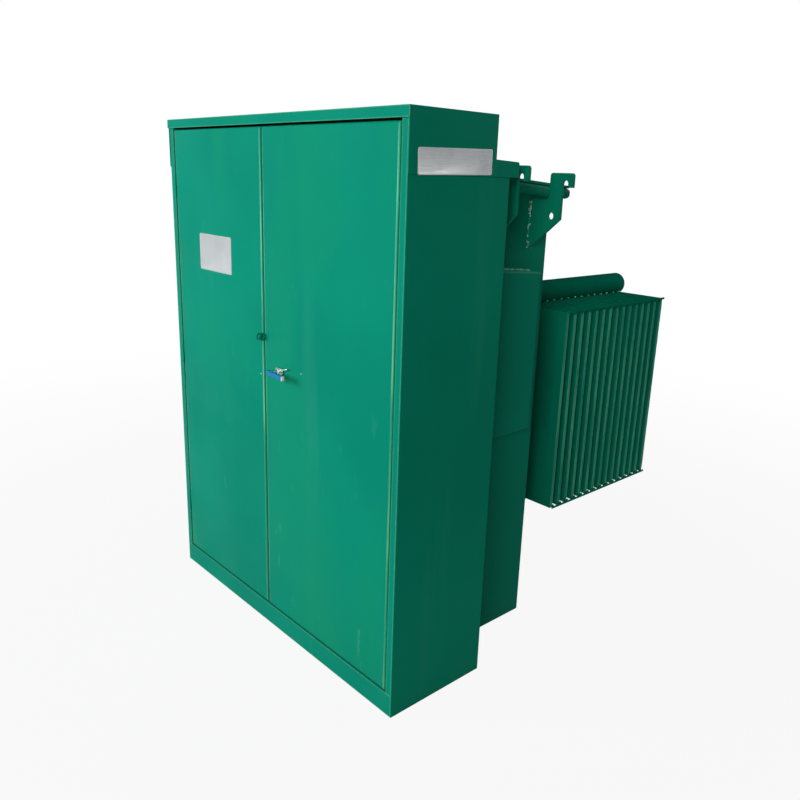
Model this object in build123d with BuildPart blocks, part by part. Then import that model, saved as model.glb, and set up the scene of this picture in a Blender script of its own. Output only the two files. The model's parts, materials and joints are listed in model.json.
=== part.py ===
"""Pad-mounted power transformer: an oil tank with panel radiators behind a two-door terminal cabinet."""
import os
from math import cos, radians, tan

from build123d import *

os.makedirs("parts", exist_ok=True)

# All lengths are in millimetres. The origin is on the ground under the middle of the tank,
# +Z is up and the cabinet's doors face -Y.

# Terminal cabinet
cabinet_width = 1294.0
cabinet_height = 1750.0
cabinet_depth = 385.0
sheet = 3.0
jamb_width = 26.0
jamb_depth = 45.0
sill_height = 72.0
panel_lap = 20.0

# Hood over the cabinet
hood_height = 162.0
hood_setback = 63.0
lip_overlap = 35.0
lip_height = 46.0
lip_fall = 4.0
lip_bend = 7.0
skirt_height = 29.0
skirt_reach = 5.0
skirt_side_reach = 2.0

# Doors
door_gap = 6.0
seam_offset = -32.0
door_depth = 30.0
door_sheet = 2.5
door_return = 18.0
door_fold = 2.0

# Door hinges
hinge_radius = 2.8
hinge_facets = 8
hinge_length = 80.0
hinge_leaf = 1.5
hinge_leaf_depth = 22.0
hinge_end_play = 0.5
hinge_height_shares = (0.12, 0.5, 0.88)

# Padlock eyes at the door seam
eye_plate = 4.0
eye_reach = 24.0
eye_height = 22.0
eye_hole_radius = 6.0
eye_corner = 7.0
eye_height_share = 0.6
eye_setback = 5.0

# Door handle
handle_setback = 94.0
handle_height_share = 0.54
handle_tilt = 2.0
escutcheon_length = 44.0
escutcheon_height = 24.0
escutcheon_plate = 7.0
spindle_radius = 9.0
spindle_length = 28.0
spindle_play = 0.5
lever_length = 87.0
lever_height = 16.0
lever_depth = 12.0
lever_heel = 12.0
lever_bevel = 2.5
cap_length = 6.0

# Tank, its rim and its cover, which falls towards the rear
tank_inset = 160.0
tank_depth = 396.0
tank_corner = 2.5
rim_drop = 44.0
rim_reach = 45.0
rim_height = 34.0
rim_round = 13.0
rim_notch_clearance = 2.0
cover_slope = 4.2
cover_thickness = 8.0
cover_inset = 3.0

# Lifting lugs
lug_thickness = 11.0
lug_front_distance = 89.0
lug_rear_distance = 93.0
lug_weld_height = 160.0
lug_weld_drop = 12.0
lug_elbow_drop = 70.0
lug_reach = 119.0
lug_arm_start = 72.0
lug_top_rise = 71.0
hook_seat_drop = 32.0
hook_tip_drop = 43.5
hook_radius = 11.0
hook_wall = 17.5
lug_round = 9.0
lug_relief = 14.0
lug_eye_radius = 11.5
lug_eye_reach = 83.0
lug_eye_rise = 111.0

# Stiffener boxes on the tank's sides
box_reach = 58.0
box_front_distance = 5.0
box_rear_distance = 86.0
box_drop = 241.0
box_height = 543.0
box_edge = 5.0

# Radiators
radiator_offset = 260.0
radiator_standoff = 146.0
fin_count = 15
fin_pitch = 45.0
fin_width = 480.0
fin_height = 756.0
fin_drop = 408.0
fin_edge = 15.0
fin_thickness = 18.0
fin_border = 18.0
flute_count = 4
flute_pitch = 114.0
flute_width = 104.0
flute_angle = 60.0
strip_height = 8.0
strip_thickness = 4.0
strip_rise = 3.0
strip_overrun = 13.0
pipe_radius = 44.5
pipe_sink = 14.0
pipe_seat_clearance = 0.3
pipe_seat_facets = 12
pipe_overrun = 41.0
pipe_end_bevel = 20.0

# Bushings inside the cabinet
bushing_facets = 16
high_bushing_count = 3
high_bushing_pitch = 130.0
high_bushing_share = -0.31
high_bushing_drop = 424.0
high_flange_radius = 54.0
high_flange = 12.0
high_root_radius = 43.0
high_root = 60.0
high_body_radius = 34.0
high_body = 122.0
high_nose_radius = 18.0
high_nose = 152.0
low_bushing_count = 4
low_bushing_pitch = 105.0
low_bushing_share = 0.28
low_bushing_drop = 624.0
low_flange_radius = 46.0
low_flange = 10.0
low_body_radius = 30.0
low_body = 70.0
low_shed_radius = 40.0
low_shed = 10.0
low_shed_distance = 35.0
spade_width = 60.0
spade_length = 95.0
spade_plate = 12.0

# Places worked out from the sizes above
half_width = cabinet_width / 2
inner_width = cabinet_width - 2 * sheet
hood_bottom = cabinet_height - hood_height
panel_top = hood_bottom + panel_lap
tank_width = cabinet_width - 2 * tank_inset
tank_height = hood_bottom - rim_drop
tank_front = -tank_depth / 2
tank_rear = tank_depth / 2
front = tank_front - cabinet_depth
skirt_front = front - skirt_reach
hood_rear_y = tank_front - hood_setback
lip_rear_y = tank_front + lip_overlap
lip_top = hood_bottom + lip_height
door_bottom = sill_height + door_gap
door_top = cabinet_height - skirt_height - door_gap
door_height = door_top - door_bottom
door_edge = half_width - jamb_width - door_gap
hinge_x = door_edge + door_gap / 2
right_door_width = door_edge - seam_offset - door_gap / 2
left_door_width = door_edge + seam_offset - door_gap / 2
bushing_plane = tank_front - sheet
fin_top = tank_height - fin_drop
fin_bottom = fin_top - fin_height
first_fin = tank_rear + radiator_standoff
last_fin = first_fin + fin_pitch * (fin_count - 1)
fin_middle = (first_fin + last_fin) / 2
top_pipe_level = fin_top - pipe_sink + pipe_radius
bottom_pipe_level = fin_bottom + pipe_sink - pipe_radius
pipe_length = last_fin + pipe_overrun - tank_rear
cover_fall = tan(radians(cover_slope))
low_corner = (Align.CENTER, Align.MIN, Align.MIN)
sides = {"right": 1, "left": -1}


def save(piece, name):
    """Label one finished piece and write its STEP file."""
    piece.part.label = name
    export_step(piece.part, f"parts/{name}.step")


def rim_level(y):
    """Height of the sloping rim's underside at one place from front to rear."""
    return tank_height - y * cover_fall


def cover_level(y):
    """Height of the sloping cover's upper face at one place from front to rear."""
    return rim_level(y) + (rim_height + cover_thickness) / cos(radians(cover_slope))


# Tank, closed along the slope of its cover
with BuildPart() as tank_body:
    with BuildSketch(Plane.YZ):
        with BuildLine():
            Polyline(
                (tank_front, 0),
                (tank_rear, 0),
                (tank_rear, rim_level(tank_rear)),
                (tank_front, rim_level(tank_front)),
                close=True,
            )
        make_face()
    extrude(amount=tank_width / 2, both=True)
    chamfer(tank_body.edges().filter_by(Axis.Z), tank_corner)
save(tank_body, "tank_body")

# Rolled rim that the cover bolts to
rim_plane = Plane.XY.offset(tank_height).rotated((-cover_slope, 0, 0))
rim_axis = Axis(rim_plane.origin, rim_plane.z_dir)
with BuildPart() as tank_rim:
    with BuildSketch(rim_plane):
        Rectangle(tank_width + 2 * rim_reach, tank_depth + 2 * rim_reach)
    extrude(amount=rim_height)
    fillet(tank_rim.faces().sort_by(rim_axis)[0].edges(), rim_round)
    fillet(tank_rim.faces().sort_by(rim_axis)[-1].edges(), rim_round)
save(tank_rim, "tank_rim")

# Cover plate
cover_reach = rim_reach - cover_inset
with BuildPart() as tank_cover:
    with BuildSketch(rim_plane.offset(rim_height)):
        Rectangle(tank_width + 2 * cover_reach, tank_depth + 2 * cover_reach)
    extrude(amount=cover_thickness)
save(tank_cover, "tank_cover")

# Hooked lifting lugs, one plate near each corner of the tank.
# Front and rear lugs are welded on at one height, so that a bar passes through both eyes,
# while their elbows and hooks follow the slope of the rim.
lug_ends = {"front": tank_front + lug_front_distance, "rear": tank_rear - lug_rear_distance}
weld_top = rim_level(lug_ends["rear"]) - lug_weld_drop
weld_bottom = weld_top - lug_weld_height
hook_inside = lug_reach + 2 * hook_radius
hook_outside = hook_inside + hook_wall
for side_name, side in sides.items():
    for end_name, lug_y in lug_ends.items():
        lug_top = rim_level(lug_y) + lug_top_rise
        hook_level = lug_top - hook_seat_drop
        tip_level = lug_top - hook_tip_drop
        elbow_level = rim_level(lug_y) - lug_elbow_drop
        wall = Plane(origin=(side * tank_width / 2, lug_y, 0), x_dir=(side, 0, 0), z_dir=(0, -side, 0))
        with BuildPart() as lug:
            with BuildSketch(wall):
                with BuildLine():
                    foot = Polyline(
                        (0, weld_top),
                        (0, weld_bottom),
                        (lug_reach, elbow_level),
                        (lug_reach, hook_level),
                    )
                    hook = TangentArc(foot @ 1, (hook_inside, hook_level), tangent=(0, 1))
                    Polyline(
                        hook @ 1,
                        (hook_inside, tip_level),
                        (hook_outside, tip_level),
                        (hook_outside, lug_top),
                        (lug_arm_start, lug_top),
                        (lug_arm_start, weld_top),
                        (0, weld_top),
                    )
                make_face()
                with Locations((lug_eye_reach, weld_bottom + lug_eye_rise)):
                    Circle(lug_eye_radius, mode=Mode.SUBTRACT)
            extrude(amount=lug_thickness / 2, both=True)
            inner_corner = (side * (tank_width / 2 + lug_arm_start), lug_y, weld_top)
            fillet(lug.edges().filter_by(Axis.Y).sort_by_distance(inner_corner)[0], lug_relief)
            fillet(lug.edges().filter_by(Axis.Y).group_by(Axis.Z)[-1], lug_round)
        save(lug, f"lifting_lug_{end_name}_{side_name}")

# Stiffener boxes welded to the tank's sides, their tops along the slope of the cover
box_front = tank_front + box_front_distance
box_rear = tank_rear - box_rear_distance
box_bottom = tank_height - box_drop - box_height
for side_name, side in sides.items():
    with BuildPart() as stiffener:
        with BuildSketch(Plane.YZ.offset(side * tank_width / 2)):
            with BuildLine():
                Polyline(
                    (box_front, box_bottom),
                    (box_rear, box_bottom),
                    (box_rear, rim_level(box_rear) - box_drop),
                    (box_front, rim_level(box_front) - box_drop),
                    close=True,
                )
            make_face()
        extrude(amount=side * box_reach)
        outer_face = stiffener.faces().sort_by(Axis.X)[-1 if side > 0 else 0]
        chamfer(outer_face.edges(), box_edge)
    save(stiffener, f"side_box_{side_name}")

# Cabinet side panels
for side_name, side in sides.items():
    with BuildPart() as panel:
        with Locations((side * half_width, front, 0)):
            Box(
                sheet,
                cabinet_depth,
                panel_top,
                align=(Align.MAX if side > 0 else Align.MIN, Align.MIN, Align.MIN),
            )
    save(panel, f"cabinet_side_{side_name}")

# Door jambs, standing on the sill inside the side panels
for side_name, side in sides.items():
    with BuildPart() as jamb:
        with Locations((side * (half_width - sheet), front, sill_height)):
            Box(
                jamb_width - sheet,
                jamb_depth,
                cabinet_height - sheet - sill_height,
                align=(Align.MAX if side > 0 else Align.MIN, Align.MIN, Align.MIN),
            )
    save(jamb, f"door_jamb_{side_name}")

# Sill under the doors
with BuildPart() as cabinet_sill:
    with Locations((0, front, 0)):
        Box(inner_width, jamb_depth, sill_height, align=low_corner)
save(cabinet_sill, "cabinet_sill")

# Back sheet against the tank, notched round the tank's rim
notch_width = tank_width + 2 * (rim_reach + rim_notch_clearance)
notch_bottom = rim_level(tank_front)
with BuildPart() as cabinet_back:
    with BuildSketch(Plane.XZ.offset(-tank_front)):
        Rectangle(inner_width, panel_top, align=(Align.CENTER, Align.MIN))
        with Locations((0, notch_bottom)):
            Rectangle(
                notch_width,
                panel_top - notch_bottom,
                align=(Align.CENTER, Align.MIN),
                mode=Mode.SUBTRACT,
            )
    extrude(amount=sheet)
save(cabinet_back, "cabinet_back")

# Hood: roof, front skirt, stepped sides, rear wall and the lip that rests on the tank's cover
with BuildPart() as hood_top:
    with Locations((0, skirt_front + sheet, cabinet_height - sheet)):
        Box(cabinet_width, hood_rear_y - sheet - (skirt_front + sheet), sheet, align=low_corner)
save(hood_top, "hood_top")

with BuildPart() as hood_skirt:
    with Locations((0, skirt_front, cabinet_height - skirt_height)):
        Box(cabinet_width + 2 * (sheet + skirt_side_reach), sheet, skirt_height, align=low_corner)
save(hood_skirt, "hood_skirt")

for side_name, side in sides.items():
    with BuildPart() as hood_side:
        with BuildSketch(Plane.YZ.offset(side * half_width)):
            with BuildLine():
                Polyline(
                    (skirt_front + sheet, hood_bottom),
                    (lip_rear_y, hood_bottom),
                    (lip_rear_y, lip_top - lip_fall),
                    (hood_rear_y, lip_top),
                    (hood_rear_y, cabinet_height),
                    (skirt_front + sheet, cabinet_height),
                    close=True,
                )
            make_face()
        extrude(amount=side * sheet)
        lip_corner = (side * half_width, lip_rear_y, lip_top - lip_fall)
        fillet(hood_side.edges().filter_by(Axis.X).sort_by_distance(lip_corner)[0], lip_bend)
    save(hood_side, f"hood_side_{side_name}")

with BuildPart() as hood_rear:
    with Locations((0, hood_rear_y - sheet, lip_top - sheet)):
        Box(cabinet_width, sheet, cabinet_height - lip_top + sheet, align=low_corner)
save(hood_rear, "hood_rear")

lip_foot = cover_level(lip_rear_y - sheet)
with BuildPart() as hood_lip:
    with BuildSketch(Plane.YZ):
        with BuildLine():
            Polyline(
                (hood_rear_y, lip_top),
                (lip_rear_y, lip_top - lip_fall),
                (lip_rear_y, lip_foot),
                (lip_rear_y - sheet, lip_foot),
                (lip_rear_y - sheet, lip_top - lip_fall - sheet),
                (hood_rear_y, lip_top - sheet),
                close=True,
            )
        make_face()
    extrude(amount=half_width, both=True)
    bend_outside = (0, lip_rear_y, lip_top - lip_fall)
    bend_inside = (0, lip_rear_y - sheet, lip_top - lip_fall - sheet)
    fillet(hood_lip.edges().filter_by(Axis.X).sort_by_distance(bend_outside)[0], lip_bend)
    fillet(hood_lip.edges().filter_by(Axis.X).sort_by_distance(bend_inside)[0], lip_bend - sheet)
save(hood_lip, "hood_lip")

# Doors: folded pans with return flanges at the back
door_places = {
    "right": (door_edge - right_door_width / 2, right_door_width),
    "left": (left_door_width / 2 - door_edge, left_door_width),
}
for side_name, (door_x, door_width) in door_places.items():
    with BuildPart() as door:
        with Locations((door_x, front, door_bottom)):
            Box(door_width, door_depth, door_height, align=low_corner)
        chamfer(door.faces().sort_by(Axis.Y)[0].edges(), door_fold)
        with Locations((door_x, front + door_sheet, door_bottom + door_sheet)):
            Box(
                door_width - 2 * door_sheet,
                door_depth - 2 * door_sheet,
                door_height - 2 * door_sheet,
                align=low_corner,
                mode=Mode.SUBTRACT,
            )
        with Locations((door_x, front + door_depth - door_sheet, door_bottom + door_return)):
            Box(
                door_width - 2 * door_return,
                door_sheet,
                door_height - 2 * door_return,
                align=low_corner,
                mode=Mode.SUBTRACT,
            )
    save(door, f"{side_name}_door")

# Hinges in the gap between each door and its jamb, with eight-sided knuckles because they repeat
half_knuckle = (hinge_length - hinge_end_play) / 2
hinge_levels = [door_bottom + share * door_height for share in hinge_height_shares]
leaf_reach = door_gap / 2
for side_name, side in sides.items():
    with BuildPart() as jamb_knuckles:
        for level in hinge_levels:
            with BuildSketch(Plane.XY.offset(level - hinge_length / 2)):
                with Locations((side * hinge_x, front)):
                    RegularPolygon(hinge_radius, hinge_facets)
                with Locations((side * (hinge_x + leaf_reach), front)):
                    Rectangle(hinge_leaf, hinge_leaf_depth, align=(Align.MAX if side > 0 else Align.MIN, Align.MIN))
            extrude(amount=half_knuckle)
    save(jamb_knuckles, f"{side_name}_jamb_hinges")
    with BuildPart() as door_knuckles:
        for level in hinge_levels:
            with BuildSketch(Plane.XY.offset(level + hinge_length / 2)):
                with Locations((side * hinge_x, front)):
                    RegularPolygon(hinge_radius, hinge_facets)
                with Locations((side * (hinge_x - leaf_reach), front + door_fold)):
                    Rectangle(hinge_leaf, hinge_leaf_depth, align=(Align.MIN if side > 0 else Align.MAX, Align.MIN))
            extrude(amount=-half_knuckle)
    save(door_knuckles, f"{side_name}_door_hinges")

# Padlock eyes, one plate on each door beside the seam
eye_level = door_bottom + eye_height_share * door_height
eye_setback_from_seam = door_gap / 2 + eye_setback
for side_name, side in sides.items():
    with BuildPart() as padlock_eye:
        with BuildSketch(Plane.YZ.offset(seam_offset + side * eye_setback_from_seam)):
            with Locations((front, eye_level)):
                Rectangle(eye_reach, eye_height, align=(Align.MAX, Align.CENTER))
            with Locations((front - eye_reach + eye_height / 2, eye_level)):
                Circle(eye_hole_radius, mode=Mode.SUBTRACT)
        extrude(amount=eye_plate / 2, both=True)
        chamfer(padlock_eye.edges().filter_by(Axis.X).group_by(Axis.Y)[0], eye_corner)
    save(padlock_eye, f"padlock_eye_{side_name}")

# Door handle on the right door: escutcheon, spindle, lever and its end cap
handle_x = seam_offset + handle_setback
handle_level = door_bottom + handle_height_share * door_height
with BuildPart() as handle_escutcheon:
    with BuildSketch(Plane.XZ.offset(-front)):
        with Locations((handle_x, handle_level)):
            SlotOverall(escutcheon_length, escutcheon_height)
    extrude(amount=escutcheon_plate)
save(handle_escutcheon, "handle_escutcheon")

spindle_root = front - escutcheon_plate - spindle_play
lever_back = spindle_root - spindle_length
with BuildPart() as handle_spindle:
    with BuildSketch(Plane.XZ.offset(-spindle_root)):
        with Locations((handle_x, handle_level)):
            Circle(spindle_radius)
    extrude(amount=spindle_length)
save(handle_spindle, "handle_spindle")

lever_plane = Plane(
    origin=(handle_x, lever_back, handle_level),
    x_dir=Vector(1, 0, 0).rotate(Axis.Y, handle_tilt),
    z_dir=(0, -1, 0),
)
with BuildPart() as handle_lever:
    with BuildSketch(lever_plane):
        with Locations((-lever_heel, 0)):
            Rectangle(lever_length, lever_height, align=(Align.MIN, Align.CENTER))
    extrude(amount=lever_depth)
    chamfer(handle_lever.faces().sort_by(Axis.X)[0].edges().filter_by(Axis.Y), lever_bevel)
    chamfer(handle_lever.faces().sort_by(Axis.Y)[0].edges(), lever_bevel)
save(handle_lever, "handle_lever")

with BuildPart() as handle_cap:
    with BuildSketch(lever_plane):
        with Locations((lever_length - lever_heel, 0)):
            Rectangle(cap_length, lever_height, align=(Align.MIN, Align.CENTER))
    extrude(amount=lever_depth)
    chamfer(handle_cap.faces().sort_by(Axis.X)[-1].edges(), lever_bevel)
save(handle_cap, "handle_end_cap")

# One pressed radiator fin: a pair of sheets with broad upright flutes
with BuildPart() as fin:
    Box(fin_width, fin_edge, fin_height, align=(Align.CENTER, Align.CENTER, Align.MIN))
    with BuildSketch(Plane.XY.offset(fin_border)):
        with GridLocations(flute_pitch, 0, flute_count, 1):
            Trapezoid(flute_width, fin_thickness / 2, flute_angle, align=(Align.CENTER, Align.MIN))
            Trapezoid(
                flute_width,
                fin_thickness / 2,
                flute_angle,
                rotation=180,
                align=(Align.CENTER, Align.MIN),
            )
    extrude(amount=fin_height - 2 * fin_border)

# Radiators: a bank of fins tied by flat strips along their corners, with a pipe along the top
# and one along the bottom, set into notches in the fins
strip_length = last_fin + strip_overrun - first_fin
strip_spread = fin_width + strip_thickness
strip_lap = strip_height - strip_rise
for side_name, side in sides.items():
    radiator_x = side * radiator_offset
    with BuildPart() as fins:
        with Locations((radiator_x, fin_middle, fin_bottom)):
            with GridLocations(0, fin_pitch, 1, fin_count):
                add(fin.part)
        with Locations((radiator_x, first_fin, fin_top - strip_lap)):
            with GridLocations(strip_spread, 0, 2, 1):
                Box(strip_thickness, strip_length, strip_height, align=low_corner)
        with Locations((radiator_x, first_fin, fin_bottom + strip_lap)):
            with GridLocations(strip_spread, 0, 2, 1):
                Box(strip_thickness, strip_length, strip_height, align=(Align.CENTER, Align.MIN, Align.MAX))
        for pipe_level in (top_pipe_level, bottom_pipe_level):
            with BuildSketch(Plane.XZ.offset(-tank_rear)):
                with Locations((radiator_x, pipe_level)):
                    RegularPolygon(pipe_radius + pipe_seat_clearance, pipe_seat_facets, major_radius=False)
            extrude(amount=-pipe_length, mode=Mode.SUBTRACT)
    save(fins, f"{side_name}_radiator_fins")
    for level_name, pipe_level in (("top", top_pipe_level), ("bottom", bottom_pipe_level)):
        with BuildPart() as pipe:
            with BuildSketch(Plane.XZ.offset(-tank_rear)):
                with Locations((radiator_x, pipe_level)):
                    Circle(pipe_radius)
            extrude(amount=-pipe_length)
            chamfer(pipe.faces().sort_by(Axis.Y)[-1].edges(), pipe_end_bevel)
        save(pipe, f"{side_name}_radiator_{level_name}_pipe")

# High-voltage bushings on the left of the cabinet's back sheet, sixteen-sided because they repeat
bushing_face = Plane.XZ.offset(-bushing_plane)
high_bushing_place = (high_bushing_share * tank_width, tank_height - high_bushing_drop)
high_steps = (
    (high_flange_radius, high_flange),
    (high_root_radius, high_root),
    (high_body_radius, high_body),
    (high_nose_radius, high_nose),
)
with BuildPart() as high_bushings:
    for step_radius, step_length in high_steps:
        with BuildSketch(bushing_face):
            with Locations(high_bushing_place):
                with GridLocations(high_bushing_pitch, 0, high_bushing_count, 1):
                    RegularPolygon(step_radius, bushing_facets)
        extrude(amount=step_length)
save(high_bushings, "high_voltage_bushings")

# Low-voltage bushings on the right, each with a flange and one shed
low_bushing_place = (low_bushing_share * tank_width, tank_height - low_bushing_drop)
low_collars = (
    (0, low_body_radius, low_body),
    (0, low_flange_radius, low_flange),
    (low_shed_distance, low_shed_radius, low_shed),
)
with BuildPart() as low_bushings:
    for collar_distance, collar_radius, collar_length in low_collars:
        with BuildSketch(bushing_face.offset(collar_distance)):
            with Locations(low_bushing_place):
                with GridLocations(low_bushing_pitch, 0, low_bushing_count, 1):
                    RegularPolygon(collar_radius, bushing_facets)
        extrude(amount=collar_length)
save(low_bushings, "low_voltage_bushings")

# Upright spade terminals on the low-voltage bushings
with BuildPart() as low_spades:
    with BuildSketch(bushing_face.offset(low_body)):
        with Locations(low_bushing_place):
            with GridLocations(low_bushing_pitch, 0, low_bushing_count, 1):
                Rectangle(spade_plate, spade_width)
    extrude(amount=spade_length)
save(low_spades, "low_voltage_terminals")
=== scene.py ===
"""Looks of the pad-mounted transformer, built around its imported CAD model."""
import json
import math
import random

import bmesh
import bpy
from mathutils import Matrix, Vector


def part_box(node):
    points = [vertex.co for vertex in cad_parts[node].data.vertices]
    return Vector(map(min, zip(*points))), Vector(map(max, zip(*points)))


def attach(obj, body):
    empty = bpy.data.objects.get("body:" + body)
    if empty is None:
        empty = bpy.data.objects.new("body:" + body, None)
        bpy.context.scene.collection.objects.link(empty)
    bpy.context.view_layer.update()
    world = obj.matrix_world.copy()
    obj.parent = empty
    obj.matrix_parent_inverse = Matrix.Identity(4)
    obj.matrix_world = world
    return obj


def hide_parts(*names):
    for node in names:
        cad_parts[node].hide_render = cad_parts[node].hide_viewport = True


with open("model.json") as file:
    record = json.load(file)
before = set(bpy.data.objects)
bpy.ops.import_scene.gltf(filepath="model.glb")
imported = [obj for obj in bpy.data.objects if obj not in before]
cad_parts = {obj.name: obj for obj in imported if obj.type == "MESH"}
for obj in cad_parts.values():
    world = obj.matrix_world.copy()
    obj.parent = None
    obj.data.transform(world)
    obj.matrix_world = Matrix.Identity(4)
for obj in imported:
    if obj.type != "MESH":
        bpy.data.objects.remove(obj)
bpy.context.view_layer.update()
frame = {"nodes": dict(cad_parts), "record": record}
nodes = frame["nodes"]
scene = bpy.context.scene

# Sizes that repeat the CAD model's, in metres
FRONT = -0.583
TANK_HALF_WIDTH = 0.487
TANK_REAR = 0.198
HOOD_OUTSIDE = 0.650
COVER_FALL = math.tan(math.radians(4.2))
DOOR_SHEET = 0.0025
DOOR_RETURN = 0.018
DOOR_DEPTH = 0.030
HINGE_X = 0.618
HINGE_LEVELS = (0.27444, 0.8965, 1.51856)
HINGE_LENGTH = 0.080
HINGE_END_PLAY = 0.0005
LEAF_REACH = 0.003
LEAF = 0.0015
LEAF_DEPTH = 0.022
SEAM_X = -0.032
EYE_SETBACK = 0.008
EYE_LEVEL = 1.0602
EYE_REACH = 0.024
EYE_HALF_HEIGHT = 0.011
EYE_HOLE = 0.006
EYE_PLATE = 0.004
HANDLE_X = 0.062
HANDLE_LEVEL = 0.96198
SPINDLE_ROOT = 0.0075
SPINDLE_LENGTH = 0.028
LEVER_HEEL = 0.012
LEVER_LENGTH = 0.087
LEVER_HALF_HEIGHT = 0.008
LEVER_DEPTH = 0.012
CAP_LENGTH = 0.006
HANDLE_TILT = math.radians(2.0)
RADIATOR_OFFSET = 0.260
FIN_COUNT = 15
FIN_PITCH = 0.045
FIRST_FIN = TANK_REAR + 0.146
LAST_FIN = FIRST_FIN + FIN_PITCH * (FIN_COUNT - 1)
FIN_HALF_WIDTH = 0.240
FIN_TOP = 1.136
FIN_BOTTOM = 0.380
FIN_BORDER = 0.018
FIN_HALF_EDGE = 0.0075
FIN_HALF_THICKNESS = 0.009
FLUTE_CENTRES = (-0.171, -0.057, 0.057, 0.171)
FLUTE_HALF_WIDTH = 0.0475
STRIP_HEIGHT = 0.008
STRIP_THICKNESS = 0.004
STRIP_RISE = 0.003
STRIP_OVERRUN = 0.013
PIPE_RADIUS = 0.0445
PIPE_SINK = 0.014
PIPE_CLEARANCE = 0.0003
PIPE_DOME = 0.020
PIPE_END = LAST_FIN + 0.041
BUSHING_PLANE = -0.201
HIGH_PLACES = (-0.43194, -0.30194, -0.17194)
HIGH_LEVEL = 1.120
LOW_PLACES = (0.11522, 0.22022, 0.32522, 0.43022)
LOW_LEVEL = 0.920
LOW_BODY = 0.070
SPADE_LENGTH = 0.095
SPADE_HALF_HEIGHT = 0.030
SPADE_PLATE = 0.012
SIDES = {"right": 1, "left": -1}

# The uneven welds and seams come from one row of random numbers
SEED = 41

# Sizes of the finish alone: edges, hinges and door hardware
SMOOTH_ANGLE = math.radians(50)
MERGE_DISTANCE = 1e-6
DOOR_FOLD = 0.008
FOLD_STEPS = 6
# Which fold faces take the painted highlight: their normals' tilt from the door's face, and their least
# sideways lean
FOLD_HIGHLIGHT_FACING = (0.75, 0.995)
FOLD_HIGHLIGHT_SIDEWAYS = 0.05
PIN_RADIUS = 0.0026
PIN_END_RADIUS = 0.0018
PIN_CHAMFER = 0.0008
LEAF_ROUND = 0.0004
DOOR_LEAF_SETBACK = 0.002
EYE_ROUND_SHARE = 0.8
EYE_STEPS = 16
EYE_EDGE = 0.0008
LEVER_ROUND = 0.0035
CAP_ROUND = 0.0029
ROD_PLACE = (0.010, 0.006, 0.010)
ROD_TILT = math.radians(15)
DOOR_SCREWS = {"right": (0.1821, 0.9780), "left": (-0.0520, 0.9290)}

# Sizes of the finish alone: radiators and welds
FLUTE_SHOULDER = 0.012
SHOULDER_STEPS = 5
RISE_STEPS = 4
NOTCH_STEPS = 6
DOME_STEPS = 8
RING_STEPS = 36
FIN_TOP_ROUND = 0.0025
STRIP_ROUND = 0.0012
SEAM_RADIUS = 0.0036
SEAM_SPREAD = 0.0039
SEAM_SWAY = 0.0006
SEAM_UNEVEN = (0.90, 1.0)
SEAM_END = 0.002
SEAM_END_SHARE = 0.5
FILLET = (0.0040, 0.0075, 0.0062)
FILLET_SPREAD = 0.0088
FILLET_DROP = 0.0068
FILLET_SINK = 0.001
WELD_DOT = (0.0048, 0.0072, 0.0046)
WELD_DOT_REACH = 0.003
WELD_PROUD = 0.001
WALL_GAP = 0.0015
LUG_WELD_ENDS = (0.002, 0.158)
BOX_WELD_START = 0.002

# Welds: how uneven they are, and the beads as (radius, pitch of the scallops)
BEAD_SWELL = (0.66, 0.34)
BEAD_UNEVEN = 0.12
BEAD_END = 0.35
NO_BEADS_WAY = (0.31, 0.47, 0.83)
BLOB_UNEVEN = (0.8, 1.2)
PIPE_WELD = (0.0045, 0.007)
LUG_WELD = (0.0062, 0.011)
BOX_WELD = (0.0042, 0.009)

# Plates as (width, height, corner): the handle's, and the two bare ones with their places
ESCUTCHEON = (0.044, 0.024, 0.0119)
SIGN = (0.218, 0.126, 0.006)
SIGN_PLACE = (-0.3375, FRONT, 1.3008)
NAME_PLATE = (0.2745, 0.0675, 0.005)
NAME_PLATE_PLACE = (HOOD_OUTSIDE, -0.4172, 1.6226)
NAME_PLATE_TILT = math.radians(1.35)

# Blades of the low-voltage terminals
SPADE_CORNER = 0.006
SPADE_EDGE = 0.0012
SPADE_HOLE = 0.0070
SPADE_HOLE_PLACES = (0.0, 0.029)


# Mesh helpers
def add_mesh(name, parts, material, body, replaced=()):
    """Make one piece from points and faces, and let it ride on a body."""
    verts, faces = parts
    mesh = bpy.data.meshes.new(name)
    mesh.from_pydata([tuple(v) for v in verts], [], faces)
    mesh.validate()
    bm = bmesh.new()
    bm.from_mesh(mesh)
    bmesh.ops.remove_doubles(bm, verts=bm.verts, dist=MERGE_DISTANCE)
    bmesh.ops.recalc_face_normals(bm, faces=bm.faces)
    bm.to_mesh(mesh)
    bm.free()
    for polygon in mesh.polygons:
        polygon.use_smooth = True
    mesh.set_sharp_from_angle(angle=SMOOTH_ANGLE)
    mesh.materials.append(material)
    piece = bpy.data.objects.new(name, mesh)
    scene.collection.objects.link(piece)
    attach(piece, body)
    if replaced:
        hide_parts(*replaced)
    return piece


def join_parts(parts):
    """Several (points, faces) pairs as one pair."""
    verts, faces = [], []
    for part_verts, part_faces in parts:
        base = len(verts)
        verts.extend(part_verts)
        faces.extend(tuple(base + i for i in face) for face in part_faces)
    return verts, faces


def tube_faces(rings, sides):
    """Faces of a closed tube of equal rings, with both ends capped."""
    faces = []
    for i in range(rings - 1):
        for k in range(sides):
            m = (k + 1) % sides
            faces.append((i * sides + k, i * sides + m, (i + 1) * sides + m, (i + 1) * sides + k))
    faces.append(tuple(reversed(range(sides))))
    faces.append(tuple((rings - 1) * sides + k for k in range(sides)))
    return faces


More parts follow.
